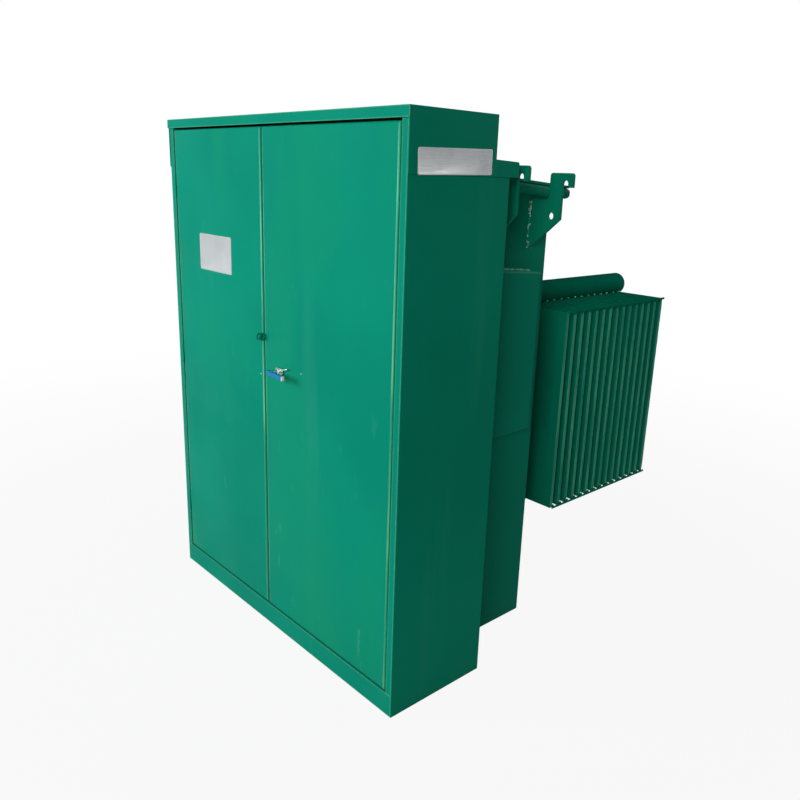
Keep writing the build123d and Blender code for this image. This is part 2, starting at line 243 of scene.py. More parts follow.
def lathe_parts(profile, segments, matrix):
    """Points and faces of a profile of (radius, height) pairs turned about a matrix's Z axis."""
    verts, faces, rings = [], [], []
    for radius, height in profile:
        if radius < MERGE_DISTANCE:
            rings.append([len(verts)])
            verts.append(matrix @ Vector((0, 0, height)))
            continue
        ring = []
        for i in range(segments):
            a = 2 * math.pi * i / segments
            ring.append(len(verts))
            verts.append(matrix @ Vector((radius * math.cos(a), radius * math.sin(a), height)))
        rings.append(ring)
    for low, high in zip(rings, rings[1:]):
        for i in range(segments):
            j = (i + 1) % segments
            if len(low) == 1:
                faces.append((low[0], high[j], high[i]))
            elif len(high) == 1:
                faces.append((low[i], low[j], high[0]))
            else:
                faces.append((low[i], low[j], high[j], high[i]))
    if len(rings[0]) > 1:
        faces.append(tuple(reversed(rings[0])))
    if len(rings[-1]) > 1:
        faces.append(tuple(rings[-1]))
    return verts, faces


def rounded_box_parts(low, high, radius, segments=3, turn=None):
    """Points and faces of a box with rounded edges."""
    bm = bmesh.new()
    bmesh.ops.create_cube(bm, size=1.0)
    low, high = Vector(low), Vector(high)
    middle, size = (low + high) / 2, high - low
    for v in bm.verts:
        v.co = Vector((v.co.x * size.x, v.co.y * size.y, v.co.z * size.z)) + middle
    bmesh.ops.bevel(bm, geom=bm.edges[:], offset=radius, segments=segments, profile=0.5, affect="EDGES")
    if turn is not None:
        bmesh.ops.transform(bm, matrix=turn, verts=bm.verts)
    bm.verts.index_update()
    verts = [v.co.copy() for v in bm.verts]
    faces = [tuple(v.index for v in f.verts) for f in bm.faces]
    bm.free()
    return verts, faces


def layered_plate_parts(outline, layers, matrix):
    """A plate from an outline: layers are (inset, height) pairs, and the matrix places its face."""
    count = len(outline)
    verts, faces = [], []
    centre = sum((Vector(p) for p in outline), Vector((0, 0))) / count
    for inset, height in layers:
        for i, point in enumerate(outline):
            before, after = Vector(outline[i - 1]), Vector(outline[(i + 1) % count])
            along = (after - before).normalized()
            normal = Vector((-along.y, along.x))
            if normal.dot(Vector(point) - centre) > 0:
                normal = -normal
            q = Vector(point) + normal * inset
            verts.append(matrix @ Vector((q.x, q.y, height)))
    for k in range(len(layers) - 1):
        for i in range(count):
            j = (i + 1) % count
            faces.append((k * count + i, k * count + j, (k + 1) * count + j, (k + 1) * count + i))
    faces.append(tuple(range(count)))
    faces.append(tuple((len(layers) - 1) * count + i for i in reversed(range(count))))
    return verts, faces


def rounded_outline(width, height, radius, steps=6):
    """Points round a rectangle with rounded corners, centred on the origin."""
    points = []
    for cx, cy, start in ((1, 1, 0), (-1, 1, 90), (-1, -1, 180), (1, -1, 270)):
        for k in range(steps + 1):
            a = math.radians(start + 90 * k / steps)
            points.append((
                cx * (width / 2 - radius) + radius * math.cos(a),
                cy * (height / 2 - radius) + radius * math.sin(a),
            ))
    return points


def circle_outline(x, y, radius, count=24):
    """Points round a circle."""
    turns = [2 * math.pi * k / count for k in range(count)]
    return [(x + radius * math.cos(a), y + radius * math.sin(a)) for a in turns]


def cut_plate_parts(outlines, thickness, rounding, matrix):
    """A flat plate with rounded edges: the first outline is its rim and the others are its holes."""
    curve = bpy.data.curves.new("plate", "CURVE")
    curve.dimensions = "2D"
    curve.fill_mode = "BOTH"
    curve.extrude = thickness / 2 - rounding
    curve.bevel_depth = rounding
    curve.bevel_resolution = 2
    curve.offset = -rounding
    for outline in outlines:
        spline = curve.splines.new("POLY")
        spline.points.add(len(outline) - 1)
        for point, (x, y) in zip(spline.points, outline):
            point.co = (x, y, 0.0, 1.0)
        spline.use_cyclic_u = True
    holder = bpy.data.objects.new("plate", curve)
    mesh = bpy.data.meshes.new_from_object(holder)
    verts = [matrix @ v.co for v in mesh.vertices]
    faces = [tuple(polygon.vertices) for polygon in mesh.polygons]
    bpy.data.objects.remove(holder)
    bpy.data.curves.remove(curve)
    bpy.data.meshes.remove(mesh)
    return verts, faces


def pan_parts(low, high, layers):
    """A folded sheet facing -Y: layers are (inset, depth) pairs from its face round to its inside."""
    verts, faces = [], []
    for inset, depth in layers:
        y = low.y + depth
        verts.append((low.x + inset, y, low.z + inset))
        verts.append((high.x - inset, y, low.z + inset))
        verts.append((high.x - inset, y, high.z - inset))
        verts.append((low.x + inset, y, high.z - inset))
    return verts, tube_faces(len(layers), 4)


def bead_parts(path, radius, pitch, rng, sides=8):
    """A weld bead along a line of points: a tube with the scallops that a welder leaves."""
    points = [Vector(p) for p in path]
    step = pitch / 4
    samples = []
    for a, b in zip(points, points[1:]):
        count = max(2, round((b - a).length / step))
        samples.extend(a.lerp(b, k / count) for k in range(count))
    samples.append(points[-1])
    verts = []
    travelled = 0.0
    for i, p in enumerate(samples):
        ahead = samples[min(i + 1, len(samples) - 1)] - samples[max(i - 1, 0)]
        along = ahead.normalized()
        side = along.cross(Vector(NO_BEADS_WAY)).normalized()
        up = side.cross(along)
        if i:
            travelled += (p - samples[i - 1]).length
        scallop = abs(math.sin(math.pi * travelled / pitch))
        swell = BEAD_SWELL[0] + BEAD_SWELL[1] * scallop + rng.uniform(-BEAD_UNEVEN, BEAD_UNEVEN)
        if i in (0, len(samples) - 1):
            swell = BEAD_END
        for k in range(sides):
            a = 2 * math.pi * k / sides
            verts.append(p + (side * math.cos(a) + up * math.sin(a)) * radius * swell)
    return verts, tube_faces(len(samples), sides)


def blob_parts(centre, radii, rng, rings=5, segments=8):
    """A small lump of weld metal."""
    profile = []
    for k in range(rings + 1):
        a = math.pi * k / rings
        profile.append((math.sin(a) if 0 < k < rings else 0.0, -math.cos(a)))
    size = [r * rng.uniform(*BLOB_UNEVEN) for r in radii]
    shape = Matrix.Translation(Vector(centre)) @ Matrix.Diagonal((*size, 1.0))
    return lathe_parts(profile, segments, shape)


# Material helpers
def new_material(name):
    """A new material, with its node tree and its main shader."""
    material = bpy.data.materials.new(name)
    material.use_nodes = True
    tree = material.node_tree
    return material, tree, tree.nodes["Principled BSDF"]


def add_node(tree, kind, **values):
    """A new node with some of its settings."""
    node = tree.nodes.new(kind)
    for key, value in values.items():
        setattr(node, key, value)
    return node


def noise_of(tree, scale, detail=3.0, stretch=(1, 1, 1), roughness=0.5):
    """Noise in the object's own space, in metres, stretched along its axes."""
    coordinates = add_node(tree, "ShaderNodeTexCoord")
    mapping = add_node(tree, "ShaderNodeMapping")
    mapping.inputs["Scale"].default_value = stretch
    noise = add_node(tree, "ShaderNodeTexNoise")
    noise.inputs["Scale"].default_value = scale
    noise.inputs["Detail"].default_value = detail
    noise.inputs["Roughness"].default_value = roughness
    tree.links.new(coordinates.outputs["Object"], mapping.inputs["Vector"])
    tree.links.new(mapping.outputs["Vector"], noise.inputs["Vector"])
    return noise.outputs["Fac"]


def height_of(tree):
    """Height in the object's own space, in metres."""
    coordinates = add_node(tree, "ShaderNodeTexCoord")
    axes = add_node(tree, "ShaderNodeSeparateXYZ")
    tree.links.new(coordinates.outputs["Object"], axes.inputs["Vector"])
    return axes.outputs["Z"]


def ramp_of(tree, value, low, high, low_out=0.0, high_out=1.0):
    """Value mapped smoothly from one range to another."""
    spread = add_node(tree, "ShaderNodeMapRange", interpolation_type="SMOOTHSTEP")
    spread.inputs["From Min"].default_value = low
    spread.inputs["From Max"].default_value = high
    spread.inputs["To Min"].default_value = low_out
    spread.inputs["To Max"].default_value = high_out
    tree.links.new(value, spread.inputs["Value"])
    return spread.outputs["Result"]


def mix_colour(tree, factor, first, second):
    """Mix of two colours, each a plain colour or an output."""
    mix = add_node(tree, "ShaderNodeMix", data_type="RGBA")
    tree.links.new(factor, mix.inputs["Factor"])
    for socket, colour in ((mix.inputs["A"], first), (mix.inputs["B"], second)):
        if isinstance(colour, tuple):
            socket.default_value = (*colour, 1.0)
        else:
            tree.links.new(colour, socket)
    return mix.outputs["Result"]


def times(tree, first, second):
    """Product of two values, each a number or an output."""
    product = add_node(tree, "ShaderNodeMath", operation="MULTIPLY")
    for socket, value in zip(product.inputs, (first, second)):
        if isinstance(value, (int, float)):
            socket.default_value = value
        else:
            tree.links.new(value, socket)
    return product.outputs["Value"]


def bump_of(tree, layers, rounding=0.0):
    """Stacked bump layers of (height, strength, distance), on edges that are softened in shading."""
    normal = None
    if rounding:
        bevel = add_node(tree, "ShaderNodeBevel", samples=4)
        bevel.inputs["Radius"].default_value = rounding
        normal = bevel.outputs["Normal"]
    for height, strength, distance in layers:
        bump = add_node(tree, "ShaderNodeBump")
        bump.inputs["Strength"].default_value = strength
        bump.inputs["Distance"].default_value = distance
        tree.links.new(height, bump.inputs["Height"])
        if normal is not None:
            tree.links.new(normal, bump.inputs["Normal"])
        normal = bump.outputs["Normal"]
    return normal


def edge_mask(tree, radius):
    """One along sharp edges and zero on the flat."""
    bevel = add_node(tree, "ShaderNodeBevel", samples=4)
    bevel.inputs["Radius"].default_value = radius
    geometry = add_node(tree, "ShaderNodeNewGeometry")
    dot = add_node(tree, "ShaderNodeVectorMath", operation="DOT_PRODUCT")
    tree.links.new(bevel.outputs["Normal"], dot.inputs[0])
    tree.links.new(geometry.outputs["Normal"], dot.inputs[1])
    return ramp_of(tree, dot.outputs["Value"], 0.995, 0.90)


# Paint colours, some of them also used as painted highlight or painted glint, with the tint of the enamel's
# reflections last
ENAMEL = (0.0030, 0.300, 0.196)
ENAMEL_DEEP = (0.0025, 0.268, 0.177)
# Pale paint for streaks and scuffs; also the paler colour of edges, part wear and part painted highlight,
# and of the fin seams' painted highlight
ENAMEL_PALE = (0.070, 0.430, 0.270)
ENAMEL_LEAF = (0.0060, 0.310, 0.168)
# Painted highlight on the door folds and the trim corners
ENAMEL_PAINTED_HIGHLIGHT = (0.150, 0.540, 0.290)
# Light colour of weld spots: unpainted metal, and painted glints
WELD_BARE_AND_GLINT = (0.640, 0.780, 0.700)
ENAMEL_TINT = (0.10, 1.0, 0.72)


def enamel(
    name, scuffs=0.0, rounding=0.0015, peel=0.05, gloss=0.44, specular=0.02, edge_wear_and_highlight=0.3, painted_highlight=0.0, bare_and_glint_scale=None,
    wear_and_highlight_colour=None, edge=0.0025, painted_shade_tone=1.0,
):
    """Sprayed green enamel: slow drift of colour, orange peel, faint run-off streaks, paler edges that are
    part wear and part painted highlight, blotches of painted highlight, light weld dots of unpainted metal
    that also serve as painted glints, and an overall darkening as painted shade.
    """
    material, tree, shader = new_material(name)
    wear_and_highlight_colour = wear_and_highlight_colour or ENAMEL_PALE
    drift = noise_of(tree, 1.7, 2.0)
    # A factor below one darkens both paint colours: painted shade
    tones = [tuple(painted_shade_tone * channel for channel in paint) for paint in (ENAMEL_DEEP, ENAMEL)]
    colour = mix_colour(tree, ramp_of(tree, drift, 0.35, 0.65), *tones)
    streaks = noise_of(tree, 9.0, 4.0, stretch=(1.0, 1.0, 0.07))
    colour = mix_colour(tree, ramp_of(tree, streaks, 0.56, 0.80, 0.0, 0.14), colour, ENAMEL_PALE)
    # Paler paint along the edges in noisy blotches: partly edge wear, partly painted highlight
    if rounding:
        patchy = ramp_of(tree, noise_of(tree, 34.0, 5.0), 0.38, 0.66, edge_wear_and_highlight - 0.3, edge_wear_and_highlight)
        colour = mix_colour(tree, times(tree, edge_mask(tree, edge), patchy), colour, wear_and_highlight_colour)
    # Blotches of the paler colour: painted highlight on the fin seams and the door folds
    if painted_highlight:
        patches = noise_of(tree, 38.0, 2.0, stretch=(1.0, 1.0, 0.08))
        colour = mix_colour(tree, ramp_of(tree, patches, 0.36, 0.64, painted_highlight / 6, painted_highlight), colour, wear_and_highlight_colour)
    # Light spots on the welds: unpainted metal, and painted glints
    if bare_and_glint_scale:
        spots = ramp_of(tree, noise_of(tree, bare_and_glint_scale, 2.0), 0.50, 0.58)
        colour = mix_colour(tree, times(tree, spots, 0.9), colour, WELD_BARE_AND_GLINT)
    rough = ramp_of(tree, noise_of(tree, 5.0, 4.0), 0.30, 0.75, gloss - 0.05, gloss + 0.10)
    if scuffs:
        bands = noise_of(tree, 4.2, 1.5, stretch=(1.0, 1.0, 0.30))
        colour = mix_colour(tree, ramp_of(tree, bands, 0.46, 0.68, 0.0, 0.6), colour, ENAMEL_LEAF)
        scratch = noise_of(tree, 16.0, 6.0, stretch=(1.0, 1.0, 0.35), roughness=0.7)
        worn_low = ramp_of(tree, height_of(tree), 0.15, 0.75, 1.0, 0.25)
        scuffed = times(tree, ramp_of(tree, scratch, 0.61, 0.72, 0.0, scuffs), worn_low)
        colour = mix_colour(tree, scuffed, colour, ENAMEL_PALE)
        lifted = add_node(tree, "ShaderNodeMath", operation="ADD")
        tree.links.new(rough, lifted.inputs[0])
        tree.links.new(scuffed, lifted.inputs[1])
        rough = lifted.outputs["Value"]
    tree.links.new(colour, shader.inputs["Base Color"])
    tree.links.new(rough, shader.inputs["Roughness"])
    shader.inputs["Specular IOR Level"].default_value = specular
    shader.inputs["Specular Tint"].default_value = (*ENAMEL_TINT, 1.0)
    layers = (
        (noise_of(tree, 2.6, 1.0), 0.10, 0.004),
        (noise_of(tree, 420.0, 2.0), peel, 0.0004),
    )
    tree.links.new(bump_of(tree, layers, rounding), shader.inputs["Normal"])
    return material


def metal(name, colour, dark, roughness, grain=(1, 1, 1), grain_scale=300.0):
    """Bare or plated metal with a fine grain and some tarnish."""
    material, tree, shader = new_material(name)
    tarnish = ramp_of(tree, noise_of(tree, 22.0, 4.0), 0.45, 0.75)
    tree.links.new(mix_colour(tree, tarnish, colour, dark), shader.inputs["Base Color"])
    fine = noise_of(tree, grain_scale, 3.0, stretch=grain)
    rough = ramp_of(tree, fine, 0.3, 0.7, roughness * 0.8, roughness * 1.3)
    tree.links.new(rough, shader.inputs["Roughness"])
    tree.links.new(bump_of(tree, ((fine, 0.06, 0.0003),), 0.0006), shader.inputs["Normal"])
    shader.inputs["Metallic"].default_value = 1.0
    return material


def plastic(name, colour, shade, roughness, bump=0.06, specular=0.5):
    """Moulded plastic, resin or stove paint with a fine grain."""
    material, tree, shader = new_material(name)
    cloud = ramp_of(tree, noise_of(tree, 14.0, 4.0), 0.35, 0.75)
    tree.links.new(mix_colour(tree, cloud, colour, shade), shader.inputs["Base Color"])
    fine = noise_of(tree, 260.0, 3.0)
    rough = ramp_of(tree, fine, 0.3, 0.7, roughness * 0.85, roughness * 1.2)
    tree.links.new(rough, shader.inputs["Roughness"])
    tree.links.new(bump_of(tree, ((fine, bump, 0.0003),), 0.0006), shader.inputs["Normal"])
    shader.inputs["Specular IOR Level"].default_value = specular
    return material


green = enamel("green_enamel")
door_green = enamel("door_enamel", scuffs=0.6)
# Paler, glossier paint on the front-facing part of the door folds: painted highlight
fold_highlight_green = enamel("fold_highlight_enamel", rounding=0.0, gloss=0.24, specular=0.20, painted_highlight=1.0, wear_and_highlight_colour=ENAMEL_PAINTED_HIGHLIGHT)
# Strong, wide paler edges on the trim: painted highlight along its corners
trim_highlight_green = enamel("trim_highlight_enamel", edge_wear_and_highlight=1.0, wear_and_highlight_colour=ENAMEL_PAINTED_HIGHLIGHT, edge=0.005)
# Radiator paint darkened to 0.8 of the rest: painted shade
shaded_fin_green = enamel("fin_enamel_painted_shade", rounding=0.0, specular=0.0, painted_shade_tone=0.8)
# Fin seams: darkened as painted shade, with blotches of painted highlight
shaded_seam_highlight_green = enamel("seam_enamel_painted_shade_and_highlight", rounding=0.0, peel=0.25, gloss=0.24, specular=0.25, painted_highlight=0.75, painted_shade_tone=0.8)
# Welds with light spots: unpainted metal, and painted glints
weld_green_with_glints = enamel("weld_enamel_with_glints", rounding=0.0, peel=0.25, gloss=0.24, specular=0.40, bare_and_glint_scale=110.0)
hinge_green = enamel("hinge_enamel", rounding=0.0004)
chrome = metal("bright_chrome", (0.82, 0.84, 0.86), (0.55, 0.57, 0.60), 0.12)
dull_chrome = metal("dull_chrome", (0.20, 0.36, 0.31), (0.12, 0.24, 0.20), 0.22)
blue_grip = plastic("blue_grip", (0.003, 0.240, 0.510), (0.003, 0.210, 0.460), 0.35, specular=0.12)
pale_cap = plastic("pale_cap", (0.90, 0.92, 0.93), (0.84, 0.87, 0.89), 0.30)
resin = plastic("bushing_resin", (0.23, 0.085, 0.045), (0.17, 0.060, 0.034), 0.16, bump=0.03)
tinned = metal("tinned_terminal", (0.74, 0.74, 0.72), (0.52, 0.52, 0.50), 0.34, grain=(1, 0.1, 1))
silver_plate = metal("silver_plate", (0.31, 0.33, 0.34), (0.26, 0.28, 0.29), 0.45, grain=(1, 0.05, 1))
white_plate = plastic("white_plate", (0.56, 0.57, 0.57), (0.50, 0.52, 0.53), 0.40)

slot_materials = {
    "green_enamel": green,
    "hinge_steel": hinge_green,
    "bright_chrome": chrome,
    "blue_grip": blue_grip,
    "pale_cap": pale_cap,
    "bushing_resin": resin,
    "tinned_terminal": tinned,
}
# The skirt, the jambs and the sill take a painted highlight along their corners
trim_with_highlight = {"hood_skirt", "door_jamb_right", "door_jamb_left", "cabinet_sill"}
for subpart in frame["record"]["subparts"]:
    node = nodes[subpart["node"]]
    node.data.materials.clear()
    node.data.materials.append(
        trim_highlight_green if subpart["node"] in trim_with_highlight else slot_materials[subpart["material_slot"]]
    )

rng = random.Random(SEED)

# Doors with rounded folds and return flanges
fold_layers = []
for k in range(FOLD_STEPS + 1):
    a = math.pi / 2 * k / FOLD_STEPS
    fold_layers.append((DOOR_FOLD * (1 - math.sin(a)), DOOR_FOLD * (1 - math.cos(a))))
door_layers = fold_layers + [
    (0.0, DOOR_DEPTH),
    (DOOR_RETURN, DOOR_DEPTH),
    (DOOR_RETURN, DOOR_DEPTH - DOOR_SHEET),
    (DOOR_SHEET, DOOR_DEPTH - DOOR_SHEET),
    (DOOR_SHEET, DOOR_FOLD),
    (DOOR_FOLD, DOOR_SHEET),
]
for side_name in SIDES:
    door_name = f"{side_name}_door"
    door_parts = pan_parts(*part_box(door_name), door_layers)
    pan = add_mesh(f"{door_name}_pan", door_parts, door_green, door_name, (door_name,))
    # The front-facing part of each fold takes the paler material: a painted highlight along the fold
    pan.data.materials.append(fold_highlight_green)
    for polygon in pan.data.polygons:
        facing = FOLD_HIGHLIGHT_FACING[0] < abs(polygon.normal.y) < FOLD_HIGHLIGHT_FACING[1]
        if facing and abs(polygon.normal.x) > FOLD_HIGHLIGHT_SIDEWAYS:
            polygon.material_index = 1


# Door hinges: round knuckles with their leaves
def knuckle_parts(side, low, leaf_near, leaf_front):
    """Half of one hinge, from its lower end up."""
    length = HINGE_LENGTH / 2 - HINGE_END_PLAY / 2
    profile = [
        (PIN_END_RADIUS, 0.0),
        (PIN_RADIUS, PIN_CHAMFER),
        (PIN_RADIUS, length - PIN_CHAMFER),
        (PIN_END_RADIUS, length),
    ]
    pin = lathe_parts(profile, 20, Matrix.Translation((side * HINGE_X, FRONT, low)))
    leaf_x = sorted((side * (HINGE_X + leaf_near), side * (HINGE_X + leaf_near + LEAF)))
    leaf = rounded_box_parts(
        (leaf_x[0], FRONT + leaf_front, low),
        (leaf_x[1], FRONT + leaf_front + LEAF_DEPTH, low + length),
        LEAF_ROUND,
        1,
    )
    return join_parts((pin, leaf))


for side_name, side in SIDES.items():
    jamb_parts = [knuckle_parts(side, z - HINGE_LENGTH / 2, LEAF_REACH - LEAF, 0.0) for z in HINGE_LEVELS]
    add_mesh(
        f"{side_name}_jamb_knuckles", join_parts(jamb_parts), hinge_green, "frame",
        (f"{side_name}_jamb_hinges",),
    )
    door_parts = [
        knuckle_parts(side, z + HINGE_END_PLAY / 2, -LEAF_REACH, DOOR_LEAF_SETBACK) for z in HINGE_LEVELS
    ]
    add_mesh(
        f"{side_name}_door_knuckles", join_parts(door_parts), hinge_green, f"{side_name}_door",
        (f"{side_name}_door_hinges",),
    )

# Padlock eyes, one rounded tab on each door
eye_outline = [(0.0, -EYE_HALF_HEIGHT)]
eye_round = EYE_HALF_HEIGHT * EYE_ROUND_SHARE
eye_middle = EYE_STEPS // 2
for k in range(EYE_STEPS + 1):
    a = math.pi * (k / EYE_STEPS - 0.5)
    lift = (EYE_HALF_HEIGHT - eye_round) * (1 if k > eye_middle else -1 if k < eye_middle else 0)
    eye_outline.append((EYE_REACH - eye_round + eye_round * math.cos(a), lift + eye_round * math.sin(a)))
eye_outline.append((0.0, EYE_HALF_HEIGHT))
eye_hole = circle_outline(EYE_REACH - EYE_HALF_HEIGHT, 0.0, EYE_HOLE)
upright_face = Matrix(((0, 0, -1, 0), (-1, 0, 0, 0), (0, 1, 0, 0), (0, 0, 0, 1)))
for side_name, side in SIDES.items():
    eye_place = Matrix.Translation((SEAM_X + side * EYE_SETBACK, FRONT, EYE_LEVEL)) @ upright_face
    eye_parts = cut_plate_parts((eye_outline, eye_hole), EYE_PLATE, EYE_EDGE, eye_place)
    add_mesh(
        f"{side_name}_padlock_tab", eye_parts, green, f"{side_name}_door",
        (f"padlock_eye_{side_name}",),
    )

# Door handle
front_face = Matrix(((1, 0, 0, 0), (0, 0, -1, 0), (0, 1, 0, 0), (0, 0, 0, 1)))
handle_place = Matrix.Translation((HANDLE_X, FRONT, HANDLE_LEVEL)) @ front_face
escutcheon_layers = ((0.0, 0.0), (0.0, 0.0045), (0.0006, 0.0058), (0.0018, 0.0066), (0.0036, 0.0070))
add_mesh(
    "escutcheon_plate",
    layered_plate_parts(rounded_outline(*ESCUTCHEON, 12), escutcheon_layers, handle_place),
    dull_chrome, "right_door", ("handle_escutcheon",),
)
spindle_profile = (
    (0.0088, 0.0), (0.0088, 0.0035), (0.0082, 0.0045), (0.0070, 0.0052), (0.0070, 0.0215),
    (0.0078, 0.0228), (0.0085, 0.0240), (0.0085, SPINDLE_LENGTH),
)
spindle_place = handle_place @ Matrix.Translation((0, 0, SPINDLE_ROOT))
add_mesh(
    "spindle_hub", lathe_parts(spindle_profile, 32, spindle_place), chrome, "handle",
    ("handle_spindle",),
)
lever_place = (
    handle_place
    @ Matrix.Translation((0, 0, SPINDLE_ROOT + SPINDLE_LENGTH))
    @ Matrix.Rotation(-HANDLE_TILT, 4, "Z")
)
lever_end = LEVER_LENGTH - LEVER_HEEL
add_mesh(
    "lever_grip",
    rounded_box_parts(
        (-LEVER_HEEL, -LEVER_HALF_HEIGHT, 0.0),
        (lever_end, LEVER_HALF_HEIGHT, LEVER_DEPTH),
        LEVER_ROUND, 4, lever_place,
    ),
    blue_grip, "handle", ("handle_lever",),
)
add_mesh(
    "lever_cap",
    rounded_box_parts(
        (lever_end, -LEVER_HALF_HEIGHT, 0.0),
        (lever_end + CAP_LENGTH, LEVER_HALF_HEIGHT, LEVER_DEPTH),
        CAP_ROUND, 5, lever_place,
    ),
    pale_cap, "handle", ("handle_end_cap",),
)
rod_place = handle_place @ Matrix.Translation(ROD_PLACE) @ Matrix.Rotation(ROD_TILT, 4, "Z")
rod_turn = rod_place @ Matrix.Rotation(math.pi / 2, 4, "Y")
rod_profile = (
    (0.0, -0.0004), (0.0012, 0.0), (0.0017, 0.0006),
    (0.0017, 0.0462), (0.0012, 0.0470), (0.0, 0.0474),
)
add_mesh("lock_rod", lathe_parts(rod_profile, 16, rod_turn), chrome, "right_door")
screw_profile = ((0.0034, 0.0), (0.0034, 0.0008), (0.0028, 0.0018), (0.0015, 0.0023), (0.0, 0.0024))
for side_name, (x, z) in DOOR_SCREWS.items():
    screw_place = Matrix.Translation((x, FRONT, z)) @ front_face
    add_mesh(
        f"{side_name}_door_screw", lathe_parts(screw_profile, 20, screw_place), dull_chrome,
        f"{side_name}_door",
    )


# Radiator fins: pressed sheet pairs with soft flutes, seamed at their edges and tied by strips
def smooth(t):
    """A smooth step from zero to one."""
    t = min(1.0, max(0.0, t))
    return t * t * (3 - 2 * t)


def fin_half_thickness(x, up):
    """Half thickness of a fin at a place across it and a distance in from its upper or lower edge."""
    across = 0.0
    for centre in FLUTE_CENTRES:
        across = max(across, smooth((FLUTE_HALF_WIDTH - abs(x - centre)) / FLUTE_SHOULDER))
    flute = (FIN_HALF_THICKNESS - FIN_HALF_EDGE) * across * smooth((up - FIN_BORDER) / FLUTE_SHOULDER)
    round_off = max(0.0, FIN_TOP_ROUND - up)
    rounding = FIN_TOP_ROUND - math.sqrt(max(0.0, FIN_TOP_ROUND ** 2 - round_off ** 2))
    return FIN_HALF_EDGE + flute - rounding


def fin_columns():
    """Places across a fin that its flutes and its pipe notch need."""
    edge = FIN_HALF_WIDTH - SEAM_RADIUS
    places = {-edge, edge}
    for centre in FLUTE_CENTRES:
        for k in range(SHOULDER_STEPS + 1):
            reach = FLUTE_HALF_WIDTH - FLUTE_SHOULDER * k / SHOULDER_STEPS
            places.update((round(centre - reach, 5), round(centre + reach, 5)))
        places.add(centre)
    notch = math.sqrt((PIPE_RADIUS + PIPE_CLEARANCE) ** 2 - (PIPE_RADIUS - PIPE_SINK) ** 2)
    for k in range(-NOTCH_STEPS, NOTCH_STEPS + 1):
        places.add(round(notch * k / NOTCH_STEPS, 5))
    return sorted(places)


def notch_depth(x):
    """How far the pipe sinks into a fin's edge at a place across it."""
    reach = (PIPE_RADIUS + PIPE_CLEARANCE) ** 2 - x * x
    if reach <= 0:
        return 0.0
    return max(0.0, math.sqrt(reach) - (PIPE_RADIUS - PIPE_SINK))


def fin_parts(x0, y0):
    """One fin of a bank, with notches for the pipes."""
    columns = fin_columns()
    margins = [FIN_TOP_ROUND * share for share in (0.0, 0.1, 0.3, 0.6, 1.0)] + [FIN_BORDER]
    rises = [FIN_BORDER + FLUTE_SHOULDER * k / RISE_STEPS for k in range(1, RISE_STEPS + 1)]
    height = FIN_TOP - FIN_BOTTOM
    middles = [height * share for share in (0.2, 0.35, 0.5, 0.65, 0.8)]
    count = len(columns)
    verts, faces = [], []
    for face in (-1, 1):
        for x in columns:
            depth = notch_depth(x)
            levels = [depth + (FIN_BORDER - depth) * m / FIN_BORDER for m in margins] + rises
            for up in levels + middles + [height - up for up in reversed(levels)]:
                inset = min(up, height - up) - depth
                verts.append((x0 + x, y0 + face * fin_half_thickness(x, inset), FIN_BOTTOM + up))
    rows = 2 * (len(margins) + len(rises)) + len(middles)
    half = count * rows
    for c in range(count - 1):
        for r in range(rows - 1):
            a, b = c * rows + r, (c + 1) * rows + r
            faces.append((a, b, b + 1, a + 1))
            faces.append((half + a, half + a + 1, half + b + 1, half + b))
        for r in (0, rows - 1):
            a, b = c * rows + r, (c + 1) * rows + r
            faces.append((a, half + a, half + b, b))
    for c in (0, count - 1):
        for r in range(rows - 1):
            a = c * rows + r
            faces.append((a, a + 1, half + a + 1, half + a))
    return verts, faces


def seam_parts(x, y, outward):
    """The seam along one upright edge of a fin: a narrow roll, a little uneven."""
    sides, count = 8, 36
    verts = []
    for i in range(count + 1):
        end = i in (0, count)
        radius = SEAM_RADIUS * (SEAM_END_SHARE if end else rng.uniform(*SEAM_UNEVEN))
        sway = -outward * rng.uniform(0.0, SEAM_SWAY)
        z = FIN_BOTTOM + SEAM_END + (FIN_TOP - FIN_BOTTOM - 2 * SEAM_END) * i / count
        for k in range(sides):
            a = 2 * math.pi * k / sides
            verts.append((x + sway + radius * math.cos(a), y + radius * math.sin(a), z))
    return verts, tube_faces(count + 1, sides)


